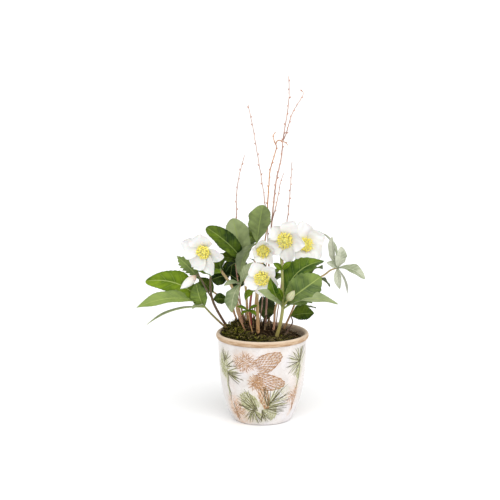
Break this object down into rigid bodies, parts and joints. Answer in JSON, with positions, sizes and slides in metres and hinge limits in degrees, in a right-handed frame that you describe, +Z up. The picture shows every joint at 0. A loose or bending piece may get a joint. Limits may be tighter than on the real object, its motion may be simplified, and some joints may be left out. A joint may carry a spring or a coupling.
{
  "type": "potted hellebore",
  "caption": "White-flowered Christmas rose with divided leaves, moss and bare twigs, planted in a round tapered cream glazed pot with a tan clay rim.",
  "frame": {"origin": "middle of the flat foot that the pot stands on", "axes": "+Z up; the flowers face -Y, and +X is to the viewer's right"},
  "size_m": [0.3651, 0.2044, 0.555],
  "materials": {
    "pot_glaze": "off-white crackle glaze with printed cones and needle sprigs",
    "pot_rim": "unglazed tan clay bead",
    "soil": "dark, rough bark and peat",
    "moss": "soft green moss cushion",
    "leaf_deep": "leathery dark green leaf, pale veins",
    "leaf_bright": "leathery bright green leaf, pale veins",
    "leaf_grey": "pale grey-green underside of a leaf",
    "stalk_olive": "smooth olive stalk",
    "stalk_tan": "smooth tan to pink stalk",
    "stalk_brown": "smooth dark brown stalk",
    "stalk_pale": "smooth pale green stalk",
    "petal_white": "white, faintly veined tepals",
    "stamen_yellow": "powdery yellow anthers on pale threads",
    "twig_bark": "reddish-brown birch bark"
  },
  "bodies": {
    "root": {"bloom_1_petals": "petal_white", "bloom_1_stamens": "stamen_yellow", "bloom_1_stem": "stalk_brown", "bloom_2_petals": "petal_white", "bloom_2_stamens": "stamen_yellow", "bloom_2_stem": "stalk_tan", "bloom_3_petals": "petal_white", "bloom_3_stamens": "stamen_yellow", "bloom_3_stem": "stalk_tan", "bloom_4_petals": "petal_white", "bloom_4_stamens": "stamen_yellow", "bloom_4_stem": "stalk_pale", "bloom_5_petals": "petal_white", "bloom_5_stamens": "stamen_yellow", "bloom_5_stem": "stalk_pale", "bud_left": "petal_white", "bud_right": "petal_white", "leaf_back_blades": "leaf_deep", "leaf_back_stalk": "stalk_tan", "leaf_centre_blades": "leaf_deep", "leaf_centre_stalk": "stalk_tan", "leaf_front_blades": "leaf_grey", "leaf_front_stalk": "stalk_tan", "leaf_left_blades": "leaf_bright", "leaf_left_stalk": "stalk_olive", "leaf_low_right_blades": "leaf_deep", "leaf_low_right_stalk": "stalk_brown", "leaf_right_back_blades": "leaf_deep", "leaf_right_back_stalk": "stalk_tan", "leaf_round_blades": "leaf_deep", "leaf_round_stalk": "stalk_tan", "leaf_shade_blades": "leaf_deep", "leaf_shade_stalk": "stalk_tan", "leaf_small_blades": "leaf_deep", "leaf_small_stalk": "stalk_tan", "leaf_under_blades": "leaf_deep", "leaf_under_stalk": "stalk_tan", "leaf_upper_blades": "leaf_deep", "leaf_upper_stalk": "stalk_tan", "leaf_young_blades": "leaf_bright", "leaf_young_stalk": "stalk_tan", "moss": "moss", "pot": "pot_glaze", "soil": "soil", "sprig_right_blades": "leaf_grey", "sprig_right_stalk": "stalk_brown", "twig_curled": "twig_bark", "twig_left": "twig_bark", "twig_main": "twig_bark", "twig_pale": "twig_bark", "twig_right": "twig_bark"}
  },
  "joints": []
}
